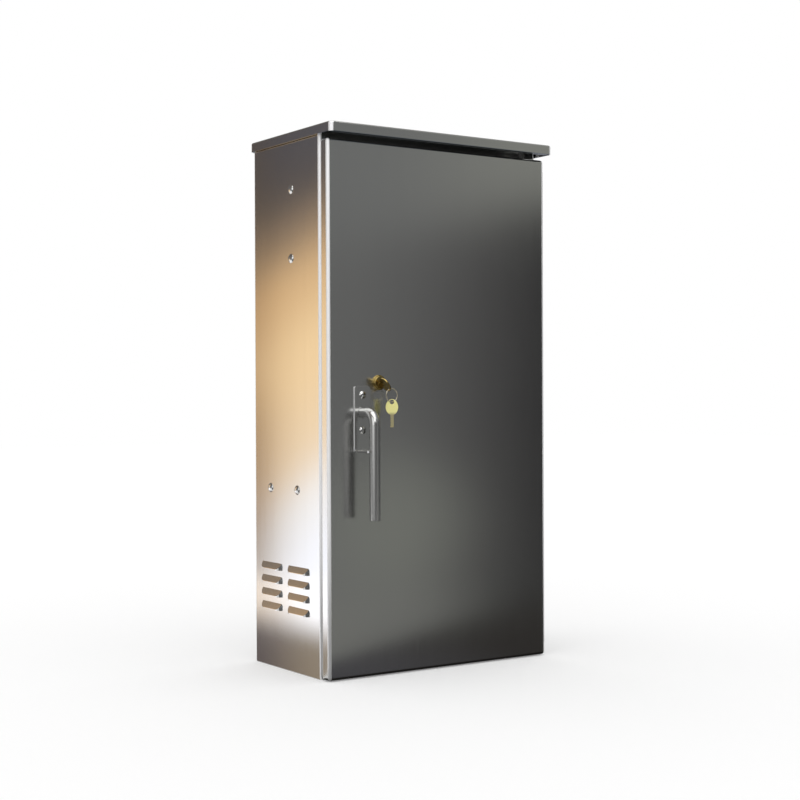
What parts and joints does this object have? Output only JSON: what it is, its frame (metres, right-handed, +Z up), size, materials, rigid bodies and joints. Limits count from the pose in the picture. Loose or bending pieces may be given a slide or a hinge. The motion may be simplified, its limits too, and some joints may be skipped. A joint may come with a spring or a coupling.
{
  "type": "roadside utility cabinet",
  "caption": "Upright stainless roadside cabinet with overhanging roof, hinged front door, bar handle driving latch rods, key lock, side louvres and a shelf inside.",
  "frame": {"origin": "middle of the base on the ground, at the centre of the anchor holes", "axes": "+X to the right along the door, +Y to the back, +Z up"},
  "size_m": [0.5154, 0.3311, 1.005],
  "materials": {
    "stainless_sheet": "mill stainless sheet with fine vertical grain",
    "stainless_trim": "plain stainless hardware",
    "polished_steel": "polished stainless bar and wire",
    "zinc_plate": "zinc-plated steel",
    "brass": "plain brass",
    "seal_rubber": "black sponge rubber",
    "filter_felt": "pale filter felt",
    "roller_nylon": "natural nylon"
  },
  "bodies": {
    "cabinet": {"body_shell": "stainless_sheet", "floor_pan": "stainless_sheet", "door_header": "stainless_sheet", "roof_canopy": "stainless_sheet", "gland_plate": "stainless_sheet", "hinge_leaf_body": "stainless_trim", "hinge_pin": "stainless_trim", "hinge_rivets_body": "stainless_trim", "side_bolts": "stainless_trim", "side_nuts": "zinc_plate", "gland_screws": "zinc_plate", "rail_bracket_left": "zinc_plate", "rail_bracket_right": "zinc_plate", "cross_rail": "zinc_plate", "rail_screws": "zinc_plate", "shelf_bracket_left": "zinc_plate", "shelf_bracket_right": "zinc_plate", "equipment_shelf": "zinc_plate", "shelf_screws": "zinc_plate", "mounting_panel": "zinc_plate", "panel_studs": "zinc_plate", "panel_nuts": "zinc_plate", "filter_frame_left": "zinc_plate", "filter_frame_right": "zinc_plate", "ground_stud": "brass", "ground_nuts": "brass", "filter_pad_left": "filter_felt", "filter_pad_right": "filter_felt"},
    "door": {"door_pan": "stainless_sheet", "door_stiffener": "stainless_trim", "door_seal": "seal_rubber", "hinge_leaf_door": "stainless_trim", "hinge_rivets_door": "stainless_trim", "handle_plate": "stainless_trim", "handle_plate_bolts": "stainless_trim", "handle_plate_nuts": "zinc_plate", "handle_bush": "stainless_trim", "rod_guide_upper": "zinc_plate", "rod_guide_lower": "zinc_plate", "lock_body": "brass", "lock_nut": "zinc_plate"},
    "handle": {"handle_bar": "polished_steel", "latch_cam": "zinc_plate", "cam_pins": "zinc_plate", "cam_nut": "zinc_plate"},
    "upper_rod": {"latch_rod_upper": "zinc_plate", "roller_axle_upper": "zinc_plate"},
    "upper_roller": {"latch_roller_upper": "roller_nylon"},
    "lower_rod": {"latch_rod_lower": "zinc_plate", "roller_axle_lower": "zinc_plate"},
    "lower_roller": {"latch_roller_lower": "roller_nylon"},
    "key": {"lock_plug": "brass", "lock_cam": "zinc_plate", "lock_cam_screw": "zinc_plate", "lock_key": "brass"},
    "ring": {"key_ring": "polished_steel"},
    "spare": {"spare_key": "brass"}
  },
  "joints": [
    {"name": "door_swing", "type": "hinge", "parent": "cabinet", "child": "door", "pos_m": [0.2544, -0.12425, 0.49], "axis": [0, 0, 1], "range_deg": [0, 180]},
    {"name": "handle_turn", "type": "hinge", "parent": "door", "child": "handle", "pos_m": [-0.1785, -0.151, 0.484], "axis": [0, -1, 0], "range_deg": [0, 90]},
    {"name": "upper_rod_slide", "type": "slide", "parent": "door", "child": "upper_rod", "axis": [0, 0, -1], "range_m": [0, 0.0312]},
    {"name": "lower_rod_slide", "type": "slide", "parent": "door", "child": "lower_rod", "axis": [0, 0, 1], "range_m": [0, 0.0312]},
    {"name": "upper_roller_spin", "type": "hinge", "parent": "upper_rod", "child": "upper_roller", "pos_m": [-0.19728, -0.113, 0.9385], "axis": [1, 0, 0], "continuous": true},
    {"name": "lower_roller_spin", "type": "hinge", "parent": "lower_rod", "child": "lower_roller", "pos_m": [-0.15972, -0.113, 0.0355], "axis": [1, 0, 0], "continuous": true},
    {"name": "key_turn", "type": "hinge", "parent": "door", "child": "key", "pos_m": [-0.1415, -0.158, 0.5345], "axis": [0, -1, 0], "range_deg": [0, 90]},
    {"name": "ring_swing", "type": "hinge", "parent": "key", "child": "ring", "pos_m": [-0.13502, -0.1753, 0.52524], "axis": [0, -1, 0], "range_deg": [-12, 22]},
    {"name": "spare_key_swing", "type": "hinge", "parent": "ring", "child": "spare", "pos_m": [-0.12866, -0.1753, 0.50307], "axis": [0, -1, 0], "range_deg": [-20, 20]}
  ],
  "couplings": [
    {"joint": "upper_rod_slide", "follows": "handle_turn", "m_per_rad": 0.019807},
    {"joint": "lower_rod_slide", "follows": "handle_turn", "m_per_rad": 0.019807}
  ]
}
